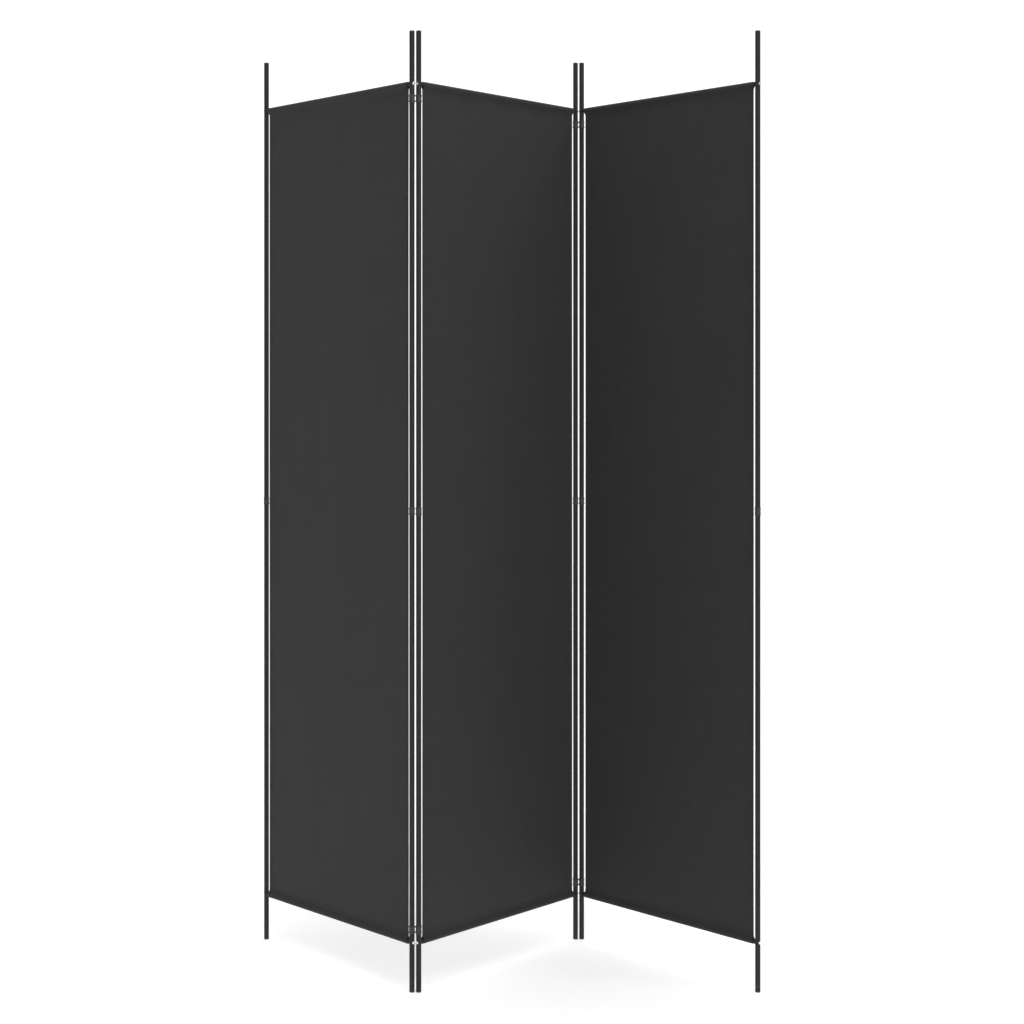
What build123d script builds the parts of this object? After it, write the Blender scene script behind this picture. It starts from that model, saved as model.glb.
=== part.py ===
from build123d import *
from math import cos, radians
import os

# A three-panel folding room divider screen. Each panel is two steel poles, two cross bars and a
# fabric sheet with a sleeve at each end. Figure-of-eight clips join the poles of neighbouring
# panels and turn on them, so the screen stands in a zigzag or folds flat.
#
# Millimetres and degrees. +Z is up and +X runs along the screen. The origin is on the floor, in the
# middle of the middle panel. Every panel is drawn in its own frame, with its poles on the X axis.

# ---- Driving dimensions -------------------------------------------------------------------------
SCREEN_HEIGHT = 2000.0  # floor to the top of the poles
PANEL_PITCH = 489.0  # between the axes of a panel's two poles; laid out flat, the screen is 1506 wide
PANEL_ANGLE = 45.0  # between a panel and the line of the screen, as it stands
HINGE_PITCH = 14.0  # between the axes of the two poles in a hinge clip

POLE_DIAMETER = 11.0
BAR_DIAMETER = 10.0
TUBE_WALL = 0.8
SPLICE_HEIGHT = 1000.0  # the two halves of a pole meet here
TOP_BAR_HEIGHT = 1889.5
BOTTOM_BAR_HEIGHT = 103.5

UPPER_CLIP_HEIGHT = 1859.0
LOWER_CLIP_HEIGHT = 130.0
COLLAR_DIAMETER = 13.0  # over the beads of a splice collar or hinge clip
COLLAR_LENGTH = 16.0
WAIST_DIAMETER = 11.9  # of the thin sleeve between the beads
BEAD_HEIGHT = 3.4
BEAD_OFFSET = 5.6  # of a bead's middle from the collar's middle
BEAD_ROUND = 0.5
NECK_HEIGHT = 1.4  # of the webs that join the two barrels of a hinge clip
NECK_WIDTH = 6.0

FABRIC_EDGE_GAP = 11.0  # from a pole's axis to the side edge of the fabric
FABRIC_THICKNESS = 0.7
SLEEVE_SEAM_DROP = 10.5  # from a bar's axis to the seam that closes its sleeve
SHEET_SETBACK = 0.8  # of the hanging sheet, behind the plane of the bars' axes

CAP_FLANGE_HEIGHT = 3.0
CAP_PLUG_LENGTH = 12.0
CAP_ROUND = 1.0
SPIGOT_LENGTH = 90.0

SCREW_DIAMETER = 3.4
SCREW_HOLE_DIAMETER = 3.8
SCREW_HEAD_DIAMETER = 6.8
SCREW_HEAD_HEIGHT = 1.1  # over the pole's surface; less than half the gap between paired poles
SCREW_RIM_HEIGHT = 0.4  # over the pole's surface, where the head's dome starts
SCREW_REACH = 18.0  # into the bar, past the pole's surface
RECESS_LENGTH = 3.0  # of the cross recess in a screw's head
RECESS_WIDTH = 0.7
RECESS_DEPTH = 0.6
INSERT_LENGTH = 18.0
INSERT_SETBACK = 3.0  # from the pole's surface to the insert's end

FIT_CLEARANCE = 0.05  # each side, between pieces that fit into or turn on each other
COPE_CLEARANCE = 0.15  # between a bar's hollowed end and the pole
SLEEVE_CLEARANCE = 0.15  # between the fabric sleeve and its bar

# ---- Sizes that follow ---------------------------------------------------------------------------
HALF_PITCH = PANEL_PITCH / 2
PANEL_SPACING = PANEL_PITCH * cos(radians(PANEL_ANGLE)) + HINGE_PITCH
POLE_RADIUS = POLE_DIAMETER / 2
POLE_BORE_RADIUS = POLE_RADIUS - TUBE_WALL
PLUG_RADIUS = POLE_BORE_RADIUS - FIT_CLEARANCE
RUNNING_BORE_RADIUS = POLE_RADIUS + FIT_CLEARANCE
BAR_RADIUS = BAR_DIAMETER / 2
BAR_BORE_RADIUS = BAR_RADIUS - TUBE_WALL
FABRIC_WIDTH = PANEL_PITCH - 2 * FABRIC_EDGE_GAP
SLEEVE_INNER_RADIUS = BAR_RADIUS + SLEEVE_CLEARANCE
SLEEVE_OUTER_RADIUS = SLEEVE_INNER_RADIUS + FABRIC_THICKNESS

ALONG_X = Rotation(0, 90, 0)  # turns a solid that stands on Z to lie along X

PANELS = {
    "left": Location((-PANEL_SPACING, 0, 0), (0, 0, -PANEL_ANGLE)),
    "middle": Location((0, 0, 0), (0, 0, PANEL_ANGLE)),
    "right": Location((PANEL_SPACING, 0, 0), (0, 0, -PANEL_ANGLE)),
}
# The poles from left to right: name, panel, and the end of the panel that the pole is at.
POLES = [
    ("left_outer", "left", -1),
    ("left_inner", "left", 1),
    ("middle_left", "middle", -1),
    ("middle_right", "middle", 1),
    ("right_inner", "right", -1),
    ("right_outer", "right", 1),
]
# The two hinge lines: name, and which end of the middle panel they are at.
HINGES = [("left", -1), ("right", 1)]


def pole_frame(panel, end):
    """A pole's frame: its axis on Z, and its X axis towards the fabric."""
    half_turn = 0 if end < 0 else 180
    return PANELS[panel] * Location((end * HALF_PITCH, 0, 0), (0, 0, half_turn))


def upright(radius, bottom, top):
    """A round bar about Z, from one height to another."""
    return Pos(0, 0, (bottom + top) / 2) * Cylinder(radius, top - bottom)


def tube(outer_radius, bore_radius, bottom, top):
    return upright(outer_radius, bottom, top) - upright(bore_radius, bottom, top)


def outermost_rim(solid, radius):
    """The round edges of a solid that have this radius."""
    rims = solid.edges().filter_by(GeomType.CIRCLE)
    return [rim for rim in rims if abs(rim.radius - radius) < FIT_CLEARANCE]


# ---- Poles and what is fitted to them ------------------------------------------------------------
def screw_hole(height):
    hole = ALONG_X * Cylinder(SCREW_HOLE_DIAMETER / 2, 2 * POLE_DIAMETER)
    return Pos(0, 0, height) * hole


def pole_upper():
    half = tube(POLE_RADIUS, POLE_BORE_RADIUS, SPLICE_HEIGHT, SCREEN_HEIGHT - CAP_FLANGE_HEIGHT)
    return half - screw_hole(TOP_BAR_HEIGHT)


def pole_lower():
    half = tube(POLE_RADIUS, POLE_BORE_RADIUS, CAP_FLANGE_HEIGHT, SPLICE_HEIGHT)
    return half - screw_hole(BOTTOM_BAR_HEIGHT)


def splice_spigot():
    """The steel tube inside a pole that its two halves slide onto."""
    bottom = SPLICE_HEIGHT - SPIGOT_LENGTH / 2
    return tube(PLUG_RADIUS, PLUG_RADIUS - TUBE_WALL, bottom, bottom + SPIGOT_LENGTH)


def bead():
    ring = Cylinder(COLLAR_DIAMETER / 2, BEAD_HEIGHT)
    return fillet(outermost_rim(ring, COLLAR_DIAMETER / 2), BEAD_ROUND)


def beaded_barrel():
    """A thin sleeve with a raised bead near each end, before it is bored, its middle at the origin."""
    barrel = Cylinder(WAIST_DIAMETER / 2, COLLAR_LENGTH)
    for side in (-1, 1):
        barrel += Pos(0, 0, side * BEAD_OFFSET) * bead()
    return barrel


def running_bore():
    return Cylinder(RUNNING_BORE_RADIUS, 2 * COLLAR_LENGTH)


def splice_collar():
    """The plastic sleeve that covers the joint between the two halves of a pole."""
    return Pos(0, 0, SPLICE_HEIGHT) * (beaded_barrel() - running_bore())


def cap():
    """A plug with a rounded flange, standing on its flange."""
    flange = upright(POLE_RADIUS, 0, CAP_FLANGE_HEIGHT)
    floor_rim = [rim for rim in outermost_rim(flange, POLE_RADIUS) if rim.center().Z < CAP_ROUND]
    flange = fillet(floor_rim, CAP_ROUND)
    return flange + upright(PLUG_RADIUS, 0, CAP_FLANGE_HEIGHT + CAP_PLUG_LENGTH)


def foot_cap():
    return cap()


def top_cap():
    return Pos(0, 0, SCREEN_HEIGHT) * Rotation(180, 0, 0) * cap()


# ---- Hinge clips ---------------------------------------------------------------------------------
def hinge_clip():
    """Two barrels side by side on the X axis, joined by a web at each pair of beads."""
    clip = Pos(-HINGE_PITCH / 2, 0, 0) * beaded_barrel()
    clip += Pos(HINGE_PITCH / 2, 0, 0) * beaded_barrel()
    for side in (-1, 1):
        clip += Pos(0, 0, side * BEAD_OFFSET) * Box(HINGE_PITCH / 2, NECK_WIDTH, NECK_HEIGHT)
    for side in (-1, 1):
        clip -= Pos(side * HINGE_PITCH / 2, 0, 0) * running_bore()
    return clip


def hinge_frame(end, height):
    """Midway between the two poles of a hinge line, at a clip's height."""
    pole = pole_frame("middle", end)
    return Pos(pole.position.X + end * HINGE_PITCH / 2, pole.position.Y, height)


# ---- Bars and their fastenings -------------------------------------------------------------------
def cross_bar(height):
    """A tube between the two poles, its ends hollowed to sit round them."""
    bar = ALONG_X * tube(BAR_RADIUS, BAR_BORE_RADIUS, -HALF_PITCH, HALF_PITCH)
    for end in (-1, 1):
        cope = Cylinder(POLE_RADIUS + COPE_CLEARANCE, 2 * BAR_DIAMETER)
        bar -= Pos(end * HALF_PITCH, 0, 0) * cope
    return Pos(0, 0, height) * bar


def bar_insert():
    """The threaded plug in a bar's end, in the pole's frame and at the height of its axis."""
    start = POLE_RADIUS + INSERT_SETBACK
    radius = BAR_BORE_RADIUS - FIT_CLEARANCE
    bore = SCREW_DIAMETER / 2 + FIT_CLEARANCE
    return ALONG_X * tube(radius, bore, start, start + INSERT_LENGTH)


def bar_screw():
    """A low domed cross-head screw, in the pole's frame. Its head is seated on the pole's round."""
    face = POLE_RADIUS + SCREW_HEAD_HEIGHT
    rim = SCREW_HEAD_DIAMETER / 2
    dome_height = SCREW_HEAD_HEIGHT - SCREW_RIM_HEIGHT
    dome_radius = (rim**2 + dome_height**2) / (2 * dome_height)
    head = ALONG_X * upright(rim, -face, 0)
    head &= Pos(dome_radius - face, 0, 0) * Sphere(dome_radius)
    head -= Cylinder(POLE_RADIUS + FIT_CLEARANCE, 2 * SCREW_HEAD_DIAMETER)
    shank = ALONG_X * upright(SCREW_DIAMETER / 2, -POLE_RADIUS - SCREW_RIM_HEIGHT, POLE_RADIUS + SCREW_REACH)
    screw = head + shank
    for tilt in (0, 90):
        slot = Box(2 * RECESS_DEPTH, RECESS_LENGTH, RECESS_WIDTH)
        screw -= Pos(-face, 0, 0) * Rotation(tilt, 0, 0) * slot
    return screw


def at_bar_ends(piece):
    """Four copies of a piece, in the panel's frame: one at each end of both bars."""
    copies = []
    for end, half_turn in ((-1, 0), (1, 180)):
        for height in (TOP_BAR_HEIGHT, BOTTOM_BAR_HEIGHT):
            place = Location((end * HALF_PITCH, 0, height), (0, 0, half_turn))
            copies.append(place * piece)
    return copies


# ---- Fabric --------------------------------------------------------------------------------------
def sleeve(radius, seam_half_width, seam_direction):
    """A solid rod along X with a teardrop section: round about the bar, closing to its seam."""
    seam = seam_direction * SLEEVE_SEAM_DROP
    rod = ALONG_X * Cylinder(radius, FABRIC_WIDTH)
    corners = [
        (0, -radius, 0),
        (0, radius, 0),
        (0, seam_half_width, seam),
        (0, -seam_half_width, seam),
    ]
    closing = Face(Wire.make_polygon(corners, close=True))
    wedge = Pos(-FABRIC_WIDTH / 2, 0, 0) * extrude(closing, FABRIC_WIDTH, dir=(1, 0, 0))
    return rod + wedge


def fabric():
    """One cloth, folded over each bar and sewn along a seam. The sheet hangs just behind the bars' plane."""
    top_seam = TOP_BAR_HEIGHT - SLEEVE_SEAM_DROP
    bottom_seam = BOTTOM_BAR_HEIGHT + SLEEVE_SEAM_DROP
    sheet_height = top_seam - bottom_seam + 2 * FABRIC_THICKNESS
    middle = (top_seam + bottom_seam) / 2
    cloth = Pos(0, SHEET_SETBACK, middle) * Box(FABRIC_WIDTH, 2 * FABRIC_THICKNESS, sheet_height)
    for height, seam_direction in ((TOP_BAR_HEIGHT, -1), (BOTTOM_BAR_HEIGHT, 1)):
        bar_axis = Pos(0, 0, height)
        cloth += bar_axis * sleeve(SLEEVE_OUTER_RADIUS, FABRIC_THICKNESS, seam_direction)
        cloth -= bar_axis * sleeve(SLEEVE_INNER_RADIUS, FABRIC_THICKNESS / 4, seam_direction)
    return cloth


# ---- Assembly ------------------------------------------------------------------------------------
def write(name, *solids):
    shape = solids[0] if len(solids) == 1 else Compound(list(solids))
    shape.label = name
    export_step(shape, f"parts/{name}.step")


def write_poles():
    for name, panel, end in POLES:
        frame = pole_frame(panel, end)
        write(f"{name}_pole_upper", frame * pole_upper())
        write(f"{name}_pole_lower", frame * pole_lower())
        write(f"{name}_splice_spigot", frame * splice_spigot())
        write(f"{name}_splice_collar", frame * splice_collar())
        write(f"{name}_top_cap", frame * top_cap())
        write(f"{name}_foot_cap", frame * foot_cap())


def write_panels():
    for name, frame in PANELS.items():
        write(f"{name}_top_bar", frame * cross_bar(TOP_BAR_HEIGHT))
        write(f"{name}_bottom_bar", frame * cross_bar(BOTTOM_BAR_HEIGHT))
        write(f"{name}_fabric", frame * fabric())
        write(f"{name}_bar_screws", *[frame * screw for screw in at_bar_ends(bar_screw())])
        write(f"{name}_bar_inserts", *[frame * insert for insert in at_bar_ends(bar_insert())])


def write_hinges():
    for name, end in HINGES:
        write(f"{name}_hinge_clip_upper", hinge_frame(end, UPPER_CLIP_HEIGHT) * hinge_clip())
        write(f"{name}_hinge_clip_lower", hinge_frame(end, LOWER_CLIP_HEIGHT) * hinge_clip())


os.makedirs("parts", exist_ok=True)
write_poles()
write_panels()
write_hinges()
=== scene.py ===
# %% [markdown]
# # A folding room divider screen
#
# The real screen is three cloth panels on thin steel poles, joined by small plastic clips so that it
# stands in a zigzag. The steel and plastic pieces arrive from the CAD model as a fixed frame, and
# they keep their meshes: here they only get their finishes. The cloth is made here, because a sewn
# sheet with sleeves, hems and stitches is a thing of surfaces, and Blender is better at those.

# %% Load the frame
import bpy
import math
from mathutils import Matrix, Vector


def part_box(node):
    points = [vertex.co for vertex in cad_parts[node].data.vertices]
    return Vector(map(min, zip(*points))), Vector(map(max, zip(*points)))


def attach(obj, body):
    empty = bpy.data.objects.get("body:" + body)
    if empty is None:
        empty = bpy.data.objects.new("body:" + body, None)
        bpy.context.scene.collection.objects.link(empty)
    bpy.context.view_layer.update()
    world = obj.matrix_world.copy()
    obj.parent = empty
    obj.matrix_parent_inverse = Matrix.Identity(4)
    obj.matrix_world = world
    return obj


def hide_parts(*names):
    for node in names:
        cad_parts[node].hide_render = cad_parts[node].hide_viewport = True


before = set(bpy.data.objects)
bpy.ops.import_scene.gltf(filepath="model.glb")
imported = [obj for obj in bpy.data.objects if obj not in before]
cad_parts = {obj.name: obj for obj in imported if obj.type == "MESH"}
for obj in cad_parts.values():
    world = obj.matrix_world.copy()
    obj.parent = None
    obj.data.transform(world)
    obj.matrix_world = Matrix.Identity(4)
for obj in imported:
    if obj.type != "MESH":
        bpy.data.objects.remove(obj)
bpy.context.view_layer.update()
print("pieces from CAD:", len(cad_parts))

MM = 0.001

# %% [markdown]
# ## Camera
#
# A screen two metres tall is usually pictured with the camera level, so that the poles stay parallel
# on the picture, and the lens is shifted to bring the feet into view. A level camera at about
# chest height and a moderately long lens keep the near poles only a little taller than the far
# ones.

# %% Camera
CAMERA_PLACE = Vector((-0.0465, -3.724, 1.244))
CAMERA_LENS_MM = 60.0
CAMERA_SHIFT = (0.0318, -0.1152)  # in widths of the picture

camera_data = bpy.data.cameras.new("camera")
camera_data.sensor_width = 36.0
camera_data.lens = CAMERA_LENS_MM
camera_data.shift_x, camera_data.shift_y = CAMERA_SHIFT
camera = bpy.data.objects.new("camera", camera_data)
camera.location = CAMERA_PLACE
camera.rotation_euler = (math.radians(90), 0, 0)
bpy.context.collection.objects.link(camera)
bpy.context.scene.camera = camera
bpy.context.scene.view_settings.view_transform = "Standard"
print("camera stands", round(-CAMERA_PLACE.y, 2), "m in front of the screen's middle")

# %% [markdown]
# ## Helpers for materials
#
# Colours are written as the hex values that a paint or cloth card would give. Blender's shaders work
# with linear light, so one function converts them. Another adds a node: it takes the node's settings
# and what goes into each of its sockets, a plain value or the output of an earlier node.

# %% Colour and node helpers
def linear(hex_colour):
    """An sRGB hex colour as linear red, green, blue and alpha."""
    channels = [int(hex_colour[i:i + 2], 16) / 255 for i in (1, 3, 5)]
    return [c / 12.92 if c <= 0.04045 else ((c + 0.055) / 1.055) ** 2.4 for c in channels] + [1.0]


def add(tree, kind, inputs=None, **settings):
    """Adds a node to a tree, with its settings, and its inputs set or linked."""
    node = tree.nodes.new("ShaderNode" + kind)
    for setting, value in settings.items():
        setattr(node, setting, value)
    for socket, value in (inputs or {}).items():
        if isinstance(value, bpy.types.NodeSocket):
            tree.links.new(value, node.inputs[socket])
        else:
            node.inputs[socket].default_value = value
    return node


def new_finish(name, **constants):
    """A material with a bare Principled shader: its tree and the shader, constants already set."""
    material = bpy.data.materials.new(name)
    material.use_nodes = True
    tree = material.node_tree
    shader = tree.nodes["Principled BSDF"]
    for socket, value in constants.items():
        shader.inputs[socket.replace("_", " ")].default_value = value
    return material, tree, shader


def per_mm(size_mm):
    """The texture scale at which one cell of a pattern is this many millimetres, in metre coordinates."""
    return 1.0 / (size_mm * MM)


# %% [markdown]
# ## Powder-coated steel
#
# The poles and cross bars are thin steel tube, sprayed with dry black powder and baked. The powder
# melts into a skin with a faint orange peel, a little under a millimetre across, and a satin gloss.
# Handling polishes it unevenly, and the feet get scuffed, so the roughness varies slowly along the
# tube and the lowest few centimetres are paler.

# %% Finish: powder-coated steel
ORANGE_PEEL_MM = 1.4  # real peel is about 0.8 mm, drawn coarser so that it shows
HANDLING_MM = 60.0
SCUFF_MM = 5.0
SCUFF_TOP = 0.09  # metres above the floor

powder_coat, tree, shader = new_finish("powder_coated_steel_satin_black", IOR=1.5, Metallic=0.0)
shader.inputs["Specular IOR Level"].default_value = 0.22
place = add(tree, "TexCoord")
handling = add(tree, "TexNoise", {"Vector": place.outputs["Object"], "Scale": per_mm(HANDLING_MM),
                                  "Detail": 4.0})
satin = add(tree, "MapRange", {"Value": handling.outputs["Fac"], "From Min": 0.3, "From Max": 0.7,
                               "To Min": 0.46, "To Max": 0.60})
tree.links.new(satin.outputs["Result"], shader.inputs["Roughness"])
height = add(tree, "SeparateXYZ", {"Vector": place.outputs["Object"]})
near_floor = add(tree, "MapRange", {"Value": height.outputs["Z"], "From Min": 0.0, "From Max": SCUFF_TOP,
                                    "To Min": 0.75, "To Max": 0.0})
scuffs = add(tree, "TexNoise", {"Vector": place.outputs["Object"], "Scale": per_mm(SCUFF_MM), "Detail": 6.0,
                                "Roughness": 0.7})
scuff_marks = add(tree, "MapRange", {"Value": scuffs.outputs["Fac"], "From Min": 0.56, "From Max": 0.68})
scuffed = add(tree, "Math", {0: scuff_marks.outputs["Result"], 1: near_floor.outputs["Result"]},
              operation="MULTIPLY")
powder = add(tree, "MixRGB", {"Fac": handling.outputs["Fac"], "Color1": linear("#222223"),
                              "Color2": linear("#29292A")})
coat = add(tree, "MixRGB", {"Fac": scuffed.outputs[0], "Color1": powder.outputs[0],
                            "Color2": linear("#5C5B5A")})
tree.links.new(coat.outputs[0], shader.inputs["Base Color"])
peel = add(tree, "TexNoise", {"Vector": place.outputs["Object"], "Scale": per_mm(ORANGE_PEEL_MM),
                              "Detail": 1.0})
peel_bump = add(tree, "Bump", {"Height": peel.outputs["Fac"], "Strength": 0.25, "Distance": 0.1 * MM})
tree.links.new(peel_bump.outputs["Normal"], shader.inputs["Normal"])
print("powder coat: orange peel", ORANGE_PEEL_MM, "mm, scuffs up to", SCUFF_TOP, "m")

# %% [markdown]
# ## Moulded black plastic
#
# Caps, collars and hinge clips are injection-moulded nylon. The mould is spark-eroded, which leaves a
# fine even grain. The melt cools unevenly as it fills the mould, so the tone and the gloss vary
# slowly from place to place.

# %% Finish: moulded nylon
SPARK_GRAIN_MM = 0.5  # real spark-eroded grain is about 0.1 mm, drawn coarser so that it shows
FLOW_MM = 9.0

moulded_nylon, tree, shader = new_finish("moulded_nylon_spark_grain_black", IOR=1.53, Metallic=0.0)
place = add(tree, "TexCoord")
flow = add(tree, "TexNoise", {"Vector": place.outputs["Object"], "Scale": per_mm(FLOW_MM), "Detail": 2.0})
nylon_tone = add(tree, "MixRGB", {"Fac": flow.outputs["Fac"], "Color1": linear("#1C1C1D"),
                                  "Color2": linear("#262627")})
tree.links.new(nylon_tone.outputs[0], shader.inputs["Base Color"])
nylon_gloss = add(tree, "MapRange", {"Value": flow.outputs["Fac"], "From Min": 0.3, "From Max": 0.7,
                                     "To Min": 0.30, "To Max": 0.46})
tree.links.new(nylon_gloss.outputs["Result"], shader.inputs["Roughness"])
grain = add(tree, "TexNoise", {"Vector": place.outputs["Object"], "Scale": per_mm(SPARK_GRAIN_MM),
                               "Detail": 3.0})
grain_bump = add(tree, "Bump", {"Height": grain.outputs["Fac"], "Strength": 0.3, "Distance": 0.05 * MM})
tree.links.new(grain_bump.outputs["Normal"], shader.inputs["Normal"])
print("nylon: spark grain", SPARK_GRAIN_MM, "mm")

# %% [markdown]
# ## Plated metals
#
# The screws are bright nickel over steel: almost white, with a soft mirror gloss. The spigots inside
# the poles and the inserts inside the bars are zinc plated, which is greyer, duller and mottled with
# small crystals. Both are metals, so their colour is the colour of their reflections.

# %% Finishes: nickel and zinc plate
NICKEL_POLISH_MM = 0.6
ZINC_CRYSTAL_MM = 1.5

nickel_plate, tree, shader = new_finish("nickel_plated_steel_bright", Metallic=1.0)
place = add(tree, "TexCoord")
polish = add(tree, "TexNoise", {"Vector": place.outputs["Object"], "Scale": per_mm(NICKEL_POLISH_MM),
                                "Detail": 3.0})
nickel_tone = add(tree, "MixRGB", {"Fac": polish.outputs["Fac"], "Color1": linear("#EDEDEC"),
                                   "Color2": linear("#F8F8F7")})
tree.links.new(nickel_tone.outputs[0], shader.inputs["Base Color"])
nickel_gloss = add(tree, "MapRange", {"Value": polish.outputs["Fac"], "To Min": 0.16, "To Max": 0.30})
tree.links.new(nickel_gloss.outputs["Result"], shader.inputs["Roughness"])

zinc_plate, tree, shader = new_finish("zinc_plated_steel_dull", Metallic=1.0)
place = add(tree, "TexCoord")
crystals = add(tree, "TexVoronoi", {"Vector": place.outputs["Object"], "Scale": per_mm(ZINC_CRYSTAL_MM)})
crystal_shade = add(tree, "SeparateColor", {"Color": crystals.outputs["Color"]})
zinc_tone = add(tree, "MixRGB", {"Fac": crystal_shade.outputs["Red"], "Color1": linear("#B4B7BB"),
                                 "Color2": linear("#C9CBCE")})
tree.links.new(zinc_tone.outputs[0], shader.inputs["Base Color"])
zinc_gloss = add(tree, "MapRange", {"Value": crystal_shade.outputs["Green"], "To Min": 0.32, "To Max": 0.48})
tree.links.new(zinc_gloss.outputs["Result"], shader.inputs["Roughness"])
print("plating: nickel on the screws, zinc inside the tubes")

# %% [markdown]
# ## Woven polyester
#
# The panels are plain-weave polyester, dyed charcoal black. In a plain weave each thread passes over
# one crossing thread and under the next, so the surface is a checker of small raised crowns, taller
# one way in one square and the other way in its neighbour. Two sine waves, one for each thread
# direction, make the crowns, and a checker chooses which of them is on top. Yarn is never even: long
# streaks of slightly thicker thread, called slubs, run both ways, and give the cloth its quiet
# texture from further off. The coordinates are the cloth's own flat ones, in metres, so that the
# weave goes round the bars with the cloth.

# %% Finish: plain-weave polyester
THREAD_MM = 1.5  # real threads lie about 0.5 mm apart, drawn coarser so that they show
SLUB_ACROSS_MM = 3.0
SLUB_LENGTH_MM = 90.0
DYE_MM = 180.0

woven_polyester, tree, shader = new_finish(
    "plain_weave_polyester_charcoal", IOR=1.46, Metallic=0.0, Sheen_Weight=0.12, Sheen_Roughness=0.45)
shader.inputs["Specular IOR Level"].default_value = 0.25
flat = add(tree, "UVMap", uv_map="cloth")
flat_place = add(tree, "SeparateXYZ", {"Vector": flat.outputs["UV"]})
half_turn_per_thread = math.pi * per_mm(THREAD_MM)
crowns = {}
for thread, across in (("warp", "X"), ("weft", "Y")):
    turns = add(tree, "Math", {0: flat_place.outputs[across], 1: half_turn_per_thread}, operation="MULTIPLY")
    wave = add(tree, "Math", {0: turns.outputs[0]}, operation="SINE")
    crowns[thread] = add(tree, "Math", {0: wave.outputs[0]}, operation="ABSOLUTE")
over_under = add(tree, "TexChecker", {"Vector": flat.outputs["UV"], "Scale": per_mm(THREAD_MM)})
weave = add(tree, "Mix", {0: over_under.outputs["Fac"], 2: crowns["warp"].outputs[0],
                          3: crowns["weft"].outputs[0]}, data_type="FLOAT")
slubs = []
slub_across, slub_along = per_mm(SLUB_ACROSS_MM), per_mm(SLUB_LENGTH_MM)
for stretch in ((slub_across, slub_along, 1), (slub_along, slub_across, 1)):
    streaks = add(tree, "Mapping", {"Vector": flat.outputs["UV"], "Scale": stretch})
    slubs.append(add(tree, "TexNoise", {"Vector": streaks.outputs["Vector"], "Scale": 1.0, "Detail": 2.0}))
yarn = add(tree, "Math", {0: slubs[0].outputs["Fac"], 1: slubs[1].outputs["Fac"]}, operation="ADD")
slub_shade = add(tree, "MapRange", {"Value": yarn.outputs[0], "From Min": 0.7, "From Max": 1.3,
                                    "To Min": 0.90, "To Max": 1.10})
dye = add(tree, "TexNoise", {"Vector": flat.outputs["UV"], "Scale": per_mm(DYE_MM), "Detail": 3.0})
dyed = add(tree, "MixRGB", {"Fac": dye.outputs["Fac"], "Color1": linear("#2B2B2C"),
                            "Color2": linear("#2F2F2F")})
crown_light = add(tree, "MapRange", {"Value": weave.outputs[0], "To Min": 0.88, "To Max": 1.06})
yarn_light = add(tree, "Math", {0: crown_light.outputs["Result"], 1: slub_shade.outputs["Result"]},
                 operation="MULTIPLY")
cloth_colour = add(tree, "VectorMath", {0: dyed.outputs[0], "Scale": yarn_light.outputs[0]},
                   operation="SCALE")
tree.links.new(cloth_colour.outputs[0], shader.inputs["Base Color"])
fibre_gloss = add(tree, "MapRange", {"Value": weave.outputs[0], "To Min": 0.86, "To Max": 0.70})
tree.links.new(fibre_gloss.outputs["Result"], shader.inputs["Roughness"])
weave_bump = add(tree, "Bump", {"Height": weave.outputs[0], "Strength": 0.35, "Distance": 0.25 * MM})
slub_bump = add(tree, "Bump", {"Height": yarn.outputs[0], "Normal": weave_bump.outputs["Normal"],
                               "Strength": 0.2, "Distance": 0.4 * MM})
tree.links.new(slub_bump.outputs["Normal"], shader.inputs["Normal"])
print("cloth: threads", THREAD_MM, "mm apart, slubs about", SLUB_LENGTH_MM, "mm long")

# %% [markdown]
# ## Sewing thread
#
# The seams are sewn with spun polyester thread, a shade blacker than the cloth and slightly shinier.
# It is two plies twisted together, so a fine slanting wave runs along each stitch.

# %% Finish: spun polyester thread
PLY_MM = 0.6

sewing_thread, tree, shader = new_finish(
    "spun_polyester_thread_black", IOR=1.46, Metallic=0.0, Roughness=0.6, Sheen_Weight=0.2)
place = add(tree, "TexCoord")
plies = add(tree, "TexWave", {"Vector": place.outputs["Object"], "Scale": per_mm(PLY_MM) / math.tau,
                              "Distortion": 0.5}, bands_direction="DIAGONAL")
thread_tone = add(tree, "MixRGB", {"Fac": plies.outputs["Fac"], "Color1": linear("#1D1D1E"),
                                   "Color2": linear("#2E2E2F")})
tree.links.new(thread_tone.outputs[0], shader.inputs["Base Color"])
print("thread: plies", PLY_MM, "mm apart")

# %% [markdown]
# ## Finishing the steel and plastic pieces
#
# Each piece from the CAD model keeps its mesh. Its name says what it is, so its finish is chosen by
# the end of its name.

# %% Give each CAD piece its finish
FINISH_BY_NAME = {
    "pole_upper": powder_coat,
    "pole_lower": powder_coat,
    "bar": powder_coat,
    "collar": moulded_nylon,
    "cap": moulded_nylon,
    "clip_upper": moulded_nylon,
    "clip_lower": moulded_nylon,
    "screws": nickel_plate,
    "spigot": zinc_plate,
    "inserts": zinc_plate,
    "fabric": woven_polyester,
}
for name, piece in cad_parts.items():
    finish = next(material for ending, material in FINISH_BY_NAME.items() if name.endswith(ending))
    piece.data.materials.clear()
    piece.data.materials.append(finish)
print("finished", len(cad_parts), "pieces")

# %% [markdown]
# ## Where each panel stands
#
# A panel is described by its two poles and its two bars. From their boxes come the middle of the
# panel, the direction along it, and the direction through it, which points away from the viewer, to
# the side where the seam allowances are.

# %% Panels measured from the frame
PANEL_POLES = {
    "left": ("left_outer", "left_inner"),
    "middle": ("middle_left", "middle_right"),
    "right": ("right_inner", "right_outer"),
}


def axis_of(node):
    """The middle of a piece's box, which lies on a round piece's axis."""
    low, high = (Vector(corner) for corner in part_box(node))
    return (low + high) / 2


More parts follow.
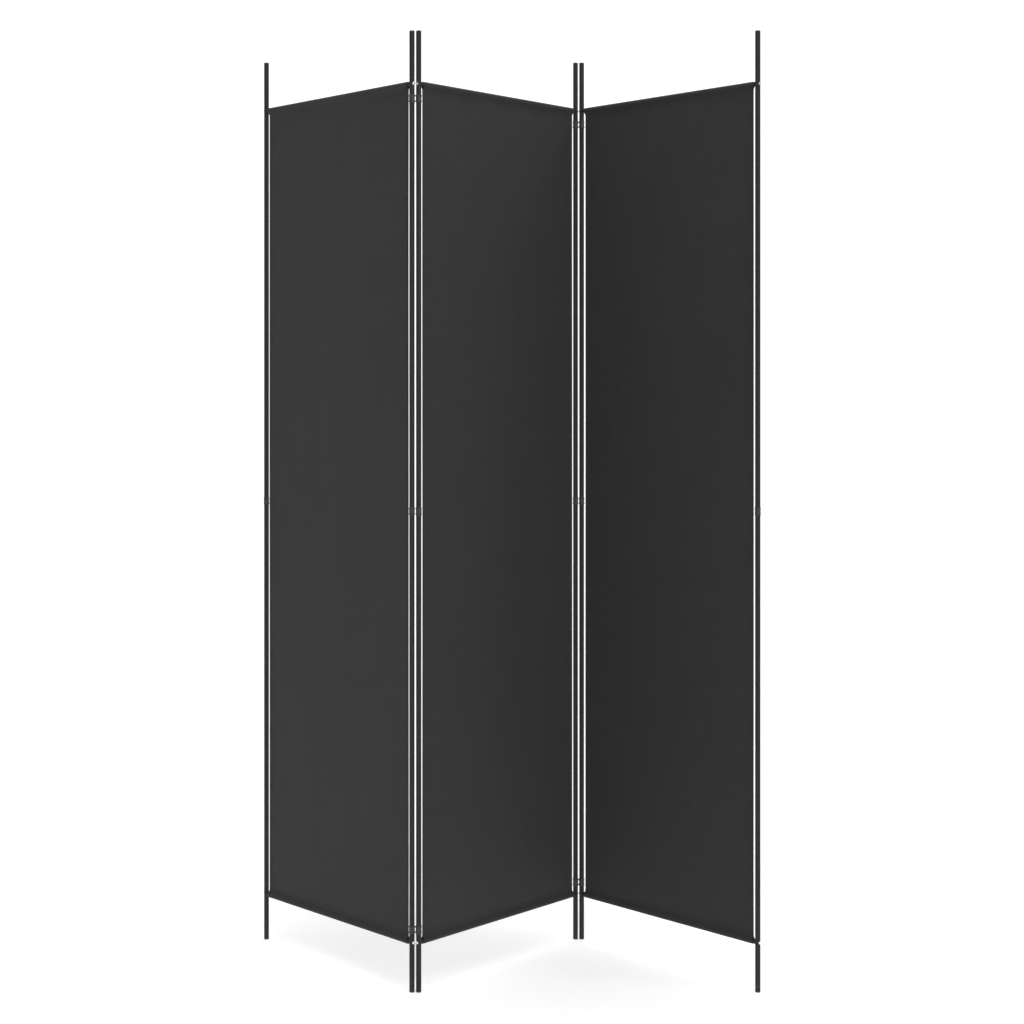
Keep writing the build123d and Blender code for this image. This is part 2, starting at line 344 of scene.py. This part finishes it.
class Panel:
    def __init__(self, name):
        first, last = (axis_of(f"{pole}_pole_upper") for pole in PANEL_POLES[name])
        self.name = name
        self.middle = Vector(((first.x + last.x) / 2, (first.y + last.y) / 2, 0))
        along = Vector((last.x - first.x, last.y - first.y, 0))
        self.pitch = along.length
        self.along = along.normalized()
        self.back = Vector((0, 0, 1)).cross(self.along)
        self.top_bar = axis_of(f"{name}_top_bar").z
        self.bottom_bar = axis_of(f"{name}_bottom_bar").z

    def point(self, across, back, height):
        """A point from its place across the panel, behind its middle plane and above the floor."""
        return self.middle + across * self.along + back * self.back + Vector((0, 0, height))


panels = [Panel(name) for name in PANEL_POLES]
for panel in panels:
    print(panel.name, "panel: poles", round(panel.pitch / MM, 1), "mm apart")

# %% [markdown]
# ## The cloth's run from hem to hem
#
# Each panel's cloth is one rectangle. Seen from the side, it starts with a seam allowance behind the
# top seam, goes up and over the top bar, comes down in front to the seam, hangs to the bottom seam,
# goes under the bottom bar and ends in a seam allowance behind. Round the bars it is an arc, and from
# the arc it runs straight to the seam, so a sleeve is teardrop-shaped. The run is worked out once as
# a list of points in a plane: how far back, and how high.

# %% The run of the cloth in profile
CLOTH_THICKNESS = 0.45 * MM
SLEEVE_RADIUS = 5.7 * MM  # of the middle of the cloth, round a 5 mm bar
SEAM_FROM_BAR = 10.5 * MM
SEAM_ALLOWANCE = 8 * MM
FRONT_LAYER = 0.5 * MM  # where the sheet hangs, behind the panel's middle plane
BACK_LAYER = 1.15 * MM
ARC_STEPS = 18
SLEEVE_SIDE_STEPS = 4
SHEET_ROW = 14 * MM


def sleeve_side_angle():
    """How far round from the seam's direction the cloth leaves the arc."""
    return math.acos(SLEEVE_RADIUS / SEAM_FROM_BAR)


def sleeve_run(bar_height, seam_direction):
    """The run round one bar, from the back of its seam to the front. Direction is -1 for a seam below."""
    seam = bar_height + seam_direction * SEAM_FROM_BAR
    leave = sleeve_side_angle()
    arc = []
    for i in range(ARC_STEPS + 1):
        angle = leave + (math.tau - 2 * leave) * (1 - i / ARC_STEPS)
        back = -SLEEVE_RADIUS * math.sin(angle)
        height = bar_height + seam_direction * SLEEVE_RADIUS * math.cos(angle)
        arc.append((back, height))
    allowance_end = seam + seam_direction * SEAM_ALLOWANCE
    allowance = [(BACK_LAYER, allowance_end + (seam - allowance_end) * i / 3) for i in range(4)]
    up_the_back = between(allowance[-1], arc[0], SLEEVE_SIDE_STEPS)
    down_the_front = between(arc[-1], (FRONT_LAYER, seam), SLEEVE_SIDE_STEPS)
    return allowance + up_the_back + arc + down_the_front + [(FRONT_LAYER, seam)]


def between(start, end, steps):
    """The points that divide a straight stretch, without its two ends."""
    return [tuple(a + (b - a) * i / steps for a, b in zip(start, end)) for i in range(1, steps)]


def cloth_run(panel):
    top = sleeve_run(panel.top_bar, -1)
    bottom = sleeve_run(panel.bottom_bar, 1)[::-1]
    rows = round((top[-1][1] - bottom[0][1]) / SHEET_ROW)
    return top + between(top[-1], bottom[0], rows) + bottom


def lengths_along(points):
    """How far along the run each of its points is."""
    total, lengths = 0.0, [0.0]
    for a, b in zip(points, points[1:]):
        total += math.dist(a, b)
        lengths.append(total)
    return lengths


run = cloth_run(panels[0])
run_lengths = lengths_along(run)
print("the cloth's run has", len(run), "points and is", round(run_lengths[-1] / MM), "mm long")

# %% [markdown]
# ## Across the cloth
#
# The side edges are turned under and sewn as a narrow hem, so across the panel the cloth goes out to
# its edge, turns back and lies doubled for a few millimetres. Each place across is a distance along
# the panel and a depth to the inner side of the cloth, which is the side that faces the bars.

# %% The places across the cloth
EDGE_FROM_POLE = 11 * MM
HEM_WIDTH = 8 * MM
HEM_DEPTH = 0.48 * MM
COLUMN = 7 * MM


def places_across(panel):
    half = panel.pitch / 2 - EDGE_FROM_POLE
    turn = HEM_DEPTH / 2
    columns = round(2 * (half - HEM_WIDTH) / COLUMN)
    inner = half - HEM_WIDTH
    main = [(-inner + 2 * inner * i / columns, 0.0) for i in range(columns + 1)]
    hem = [(inner, HEM_DEPTH), (half - HEM_WIDTH / 2, HEM_DEPTH), (half - turn, HEM_DEPTH)]
    fold = [(half, turn)]
    outer = [(half - turn, 0.0), (half - HEM_WIDTH / 2, 0.0)]
    right = outer[::-1] + fold + hem[::-1]
    left = [(-across, depth) for across, depth in right[::-1]]
    return left + main + right


across_lengths = lengths_along(places_across(panels[0]))

# %% [markdown]
# ## How the sheet hangs
#
# The cloth is stretched between its two bars, so it is nearly flat. What is left are shallow upright
# waves, less than a millimetre deep, that die out at the seams. A few sine waves that don't repeat
# together give them, and each panel starts at another place in the pattern, so that no two are alike.

# %% Waves in the hanging sheet
WAVE_DEPTH = 0.35 * MM
WAVE_FADE = 160 * MM  # from a seam to where the waves are at full depth
WAVES = [(0.23, 1.9, 0.45), (0.117, 3.1, 0.35), (0.071, 0.9, 0.2)]  # width and height in metres, share


def wave(panel_index, across, height, low_seam, high_seam):
    """How far the sheet stands behind its plane here."""
    room = min(height - low_seam, high_seam - height)
    fade = min(max(room / WAVE_FADE, 0.0), 1.0)
    fade = fade * fade * (3 - 2 * fade)
    total = 0.0
    for i, (width, tall, share) in enumerate(WAVES):
        shift = 1.7 * panel_index + 2.3 * i
        total += share * math.sin(math.tau * (across / width + height / tall) + shift)
    return WAVE_DEPTH * fade * total


# %% [markdown]
# ## Sewing it together
#
# The cloth is a grid: its rows follow the run and its columns the places across. Depth is measured
# along the run's own normal, so the hems turn round the bars with the rest. The flat coordinates go
# into a UV map in metres, and Solidify gives the cloth its thickness.

# %% Build one panel's cloth
def inner_normals(points):
    """At each point of the run, the direction to its inner side, square to the run."""
    normals = []
    for i in range(len(points)):
        before, after = points[max(i - 1, 0)], points[min(i + 1, len(points) - 1)]
        step = (after[0] - before[0], after[1] - before[1])
        size = math.hypot(*step)
        normals.append((-step[1] / size, step[0] / size))
    return normals


class Cloth:
    """One panel's cloth as a surface: a place for every distance across, depth and point of the run."""

    def __init__(self, panel, index):
        self.panel, self.index = panel, index
        self.run = cloth_run(panel)
        self.normals = inner_normals(self.run)
        self.high_seam = panel.top_bar - SEAM_FROM_BAR
        self.low_seam = panel.bottom_bar + SEAM_FROM_BAR

    def place(self, across, depth, back, height, normal):
        back_now = back + depth * normal[0]
        height_now = height + depth * normal[1]
        if self.low_seam < height < self.high_seam:
            back_now += wave(self.index, across, height, self.low_seam, self.high_seam)
        return self.panel.point(across, back_now, height_now)

    def mesh(self):
        columns = places_across(self.panel)
        u_places, v_places = lengths_along(columns), lengths_along(self.run)
        vertices, flat_places = [], []
        for (back, height), normal, v in zip(self.run, self.normals, v_places):
            for (across, depth), u in zip(columns, u_places):
                vertices.append(self.place(across, depth, back, height, normal))
                flat_places.append((u, v))
        wide = len(columns)
        faces = []
        for row in range(len(self.run) - 1):
            for column in range(wide - 1):
                corner = row * wide + column
                faces.append((corner, corner + wide, corner + wide + 1, corner + 1))
        mesh = bpy.data.meshes.new(f"{self.panel.name}_cloth")
        mesh.from_pydata(vertices, [], faces)
        uv_map = mesh.uv_layers.new(name="cloth")
        for loop in mesh.loops:
            uv_map.data[loop.index].uv = flat_places[loop.vertex_index]
        mesh.shade_smooth()
        return mesh


cloths = []
cloth_pieces = []
for index, panel in enumerate(panels):
    cloth = Cloth(panel, index)
    piece = bpy.data.objects.new(f"{panel.name}_cloth", cloth.mesh())
    bpy.context.collection.objects.link(piece)
    piece.data.materials.append(woven_polyester)
    thickness = piece.modifiers.new("cloth_thickness", "SOLIDIFY")
    thickness.thickness = CLOTH_THICKNESS
    thickness.offset = 0.0
    cloths.append(cloth)
    cloth_pieces.append(piece)
    print(piece.name, "has", len(piece.data.polygons), "faces")

# %% [markdown]
# ## Stitches
#
# A lockstitch shows on both faces as a row of short threads with small gaps, where the thread dives
# through the cloth. Each stitch is a thin six-sided tube that is narrow and low at its ends and full
# in the middle. All the stitches of a panel are one piece.

# %% Build one panel's stitches
STITCH_LENGTH = 4 * MM  # from one needle hole to the next, drawn a little long so that it shows
STITCH_GAP = 0.8 * MM
THREAD_RADIUS = 0.22 * MM
THREAD_SIDES = 6
STITCH_PROFILE = [(0.0, 0.35, -0.6), (0.18, 0.9, 0.35), (0.5, 1.0, 0.6), (0.82, 0.9, 0.35), (1.0, 0.35, -0.6)]


def add_stitch(vertices, faces, start, end, outward):
    """Adds one stitch from start to end, on the face of the cloth that outward points away from."""
    forward = (end - start).normalized()
    sideways = forward.cross(outward).normalized()
    first = len(vertices)
    for share, fullness, lift in STITCH_PROFILE:
        middle = start.lerp(end, share) + outward * THREAD_RADIUS * lift
        for i in range(THREAD_SIDES):
            turn = math.tau * i / THREAD_SIDES
            spoke = outward * math.cos(turn) + sideways * math.sin(turn)
            vertices.append(middle + spoke * THREAD_RADIUS * fullness)
    rings = len(STITCH_PROFILE)
    for ring in range(rings - 1):
        for i in range(THREAD_SIDES):
            a = first + ring * THREAD_SIDES + i
            b = first + ring * THREAD_SIDES + (i + 1) % THREAD_SIDES
            faces.append((a, b, b + THREAD_SIDES, a + THREAD_SIDES))
    faces.append([first + i for i in reversed(range(THREAD_SIDES))])
    faces.append([first + (rings - 1) * THREAD_SIDES + i for i in range(THREAD_SIDES)])


def sew_row(vertices, faces, length, place_at, outward):
    """Sews a row of stitches. place_at gives the point at a distance along the row."""
    count = int(length / STITCH_LENGTH)
    spare = (length - count * STITCH_LENGTH) / 2
    for i in range(count):
        start = spare + i * STITCH_LENGTH + STITCH_GAP / 2
        end = start + STITCH_LENGTH - STITCH_GAP
        add_stitch(vertices, faces, place_at(start), place_at(end), outward)


SEAM_ROW_FROM_SEAM = 2 * MM
HEM_ROW_FROM_EDGE = 6.5 * MM


def stitches(cloth):
    panel = cloth.panel
    half = panel.pitch / 2 - EDGE_FROM_POLE
    high_row = cloth.high_seam - SEAM_ROW_FROM_SEAM
    low_row = cloth.low_seam + SEAM_ROW_FROM_SEAM
    sheet_faces = (
        (-panel.back, FRONT_LAYER - CLOTH_THICKNESS / 2, FRONT_LAYER - CLOTH_THICKNESS / 2),
        (panel.back, BACK_LAYER + CLOTH_THICKNESS / 2, FRONT_LAYER + HEM_DEPTH + CLOTH_THICKNESS / 2),
    )
    vertices, faces = [], []
    for outward, seam_face, hem_face in sheet_faces:
        for row in (high_row, low_row):
            sew_row(vertices, faces, 2 * half,
                    lambda s: cloth.place(s - half, 0, seam_face, row, (0, 0)), outward)
        for side in (-1, 1):
            across = side * (half - HEM_ROW_FROM_EDGE)
            sew_row(vertices, faces, high_row - low_row,
                    lambda s: cloth.place(across, 0, hem_face, low_row + s, (0, 0)), outward)
    mesh = bpy.data.meshes.new(f"{panel.name}_stitches")
    mesh.from_pydata(vertices, [], faces)
    mesh.shade_smooth()
    return mesh


stitch_pieces = []
for cloth in cloths:
    piece = bpy.data.objects.new(f"{cloth.panel.name}_stitches", stitches(cloth))
    bpy.context.collection.objects.link(piece)
    piece.data.materials.append(sewing_thread)
    stitch_pieces.append(piece)
    print(piece.name, "has", len(piece.data.polygons), "faces")

# %% [markdown]
# ## Which piece moves with what
#
# The cloth is sewn round its own two bars and touches nothing else, so it rides on its panel and stands
# for the plain fabric solid of the CAD model.

# %% Ride and replace
for panel, cloth_piece, stitch_piece in zip(panels, cloth_pieces, stitch_pieces):
    body = f"panel_{panel.name}"
    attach(cloth_piece, body)
    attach(stitch_piece, body)
    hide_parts(f"{panel.name}_fabric")
print("three cloths ride on their panels")

# %% [markdown]
# ## Studio
#
# A product picture on white: a pale floor that curves up into a pale wall, and large soft lights. The
# wall and the floor are one sheet of paper, so no line shows where they meet.

# %% Floor and backdrop
PAPER_HALF_WIDTH = 9.0
PAPER_FRONT = -7.0
PAPER_BACK = 5.0
PAPER_HEIGHT = 7.0
PAPER_CURVE = 2.5
CURVE_STEPS = 16
PAPER_GLOW = 0.38  # the paper is lit from behind too, like a light table

paper_white, tree, shader = new_finish("matt_background_paper", Roughness=0.95)
shader.inputs["Specular IOR Level"].default_value = 0.1
shader.inputs["Emission Color"].default_value = linear("#FFFFFF")
shader.inputs["Emission Strength"].default_value = PAPER_GLOW
place = add(tree, "TexCoord")
fibres = add(tree, "TexNoise", {"Vector": place.outputs["Object"], "Scale": 6.0, "Detail": 4.0})
paper_tone = add(tree, "MixRGB", {"Fac": fibres.outputs["Fac"], "Color1": linear("#F3F3F3"),
                                  "Color2": linear("#F7F7F7")})
tree.links.new(paper_tone.outputs[0], shader.inputs["Base Color"])

profile = [(PAPER_FRONT, 0.0)]
for i in range(CURVE_STEPS + 1):
    turn = math.radians(90) * i / CURVE_STEPS
    out = PAPER_BACK - PAPER_CURVE + PAPER_CURVE * math.sin(turn)
    up = PAPER_CURVE - PAPER_CURVE * math.cos(turn)
    profile.append((out, up))
profile.append((PAPER_BACK, PAPER_HEIGHT))
paper_points = [(x, y, z) for y, z in profile for x in (-PAPER_HALF_WIDTH, PAPER_HALF_WIDTH)]
paper_faces = [(2 * i, 2 * i + 1, 2 * i + 3, 2 * i + 2) for i in range(len(profile) - 1)]
paper_mesh = bpy.data.meshes.new("background_paper")
paper_mesh.from_pydata(paper_points, [], paper_faces)
paper_mesh.shade_smooth()
paper_mesh.materials.append(paper_white)
paper = bpy.data.objects.new("background_paper", paper_mesh)
bpy.context.collection.objects.link(paper)

# %% Lights
def soft_light(name, place, aim, size, power):
    """A square soft box at a place, facing the point that it is aimed at."""
    data = bpy.data.lights.new(name, "AREA")
    data.size, data.energy = size, power
    light = bpy.data.objects.new(name, data)
    light.location = place
    light.rotation_euler = (Vector(aim) - Vector(place)).to_track_quat("-Z", "Y").to_euler()
    light.visible_camera = False
    bpy.context.collection.objects.link(light)


SCREEN_MIDDLE = (0, 0, 1.0)
soft_light("front_left", (-3.5, -5.0, 2.2), SCREEN_MIDDLE, 2.0, 22)
soft_light("front_right", (3.5, -5.0, 2.2), SCREEN_MIDDLE, 2.0, 76)
soft_light("high_right", (3.0, -0.85, 3.8), (0, 0, 1.3), 0.6, 14)
soft_light("overhead", (0, -0.5, 5.0), (0, -0.4, 0), 4.0, 90)

world = bpy.data.worlds.new("studio")
bpy.context.scene.world = world
world.use_nodes = True
sky = world.node_tree.nodes["Background"]
sky.inputs["Color"].default_value = linear("#FFFFFF")
sky.inputs["Strength"].default_value = 0.45
print("studio ready")
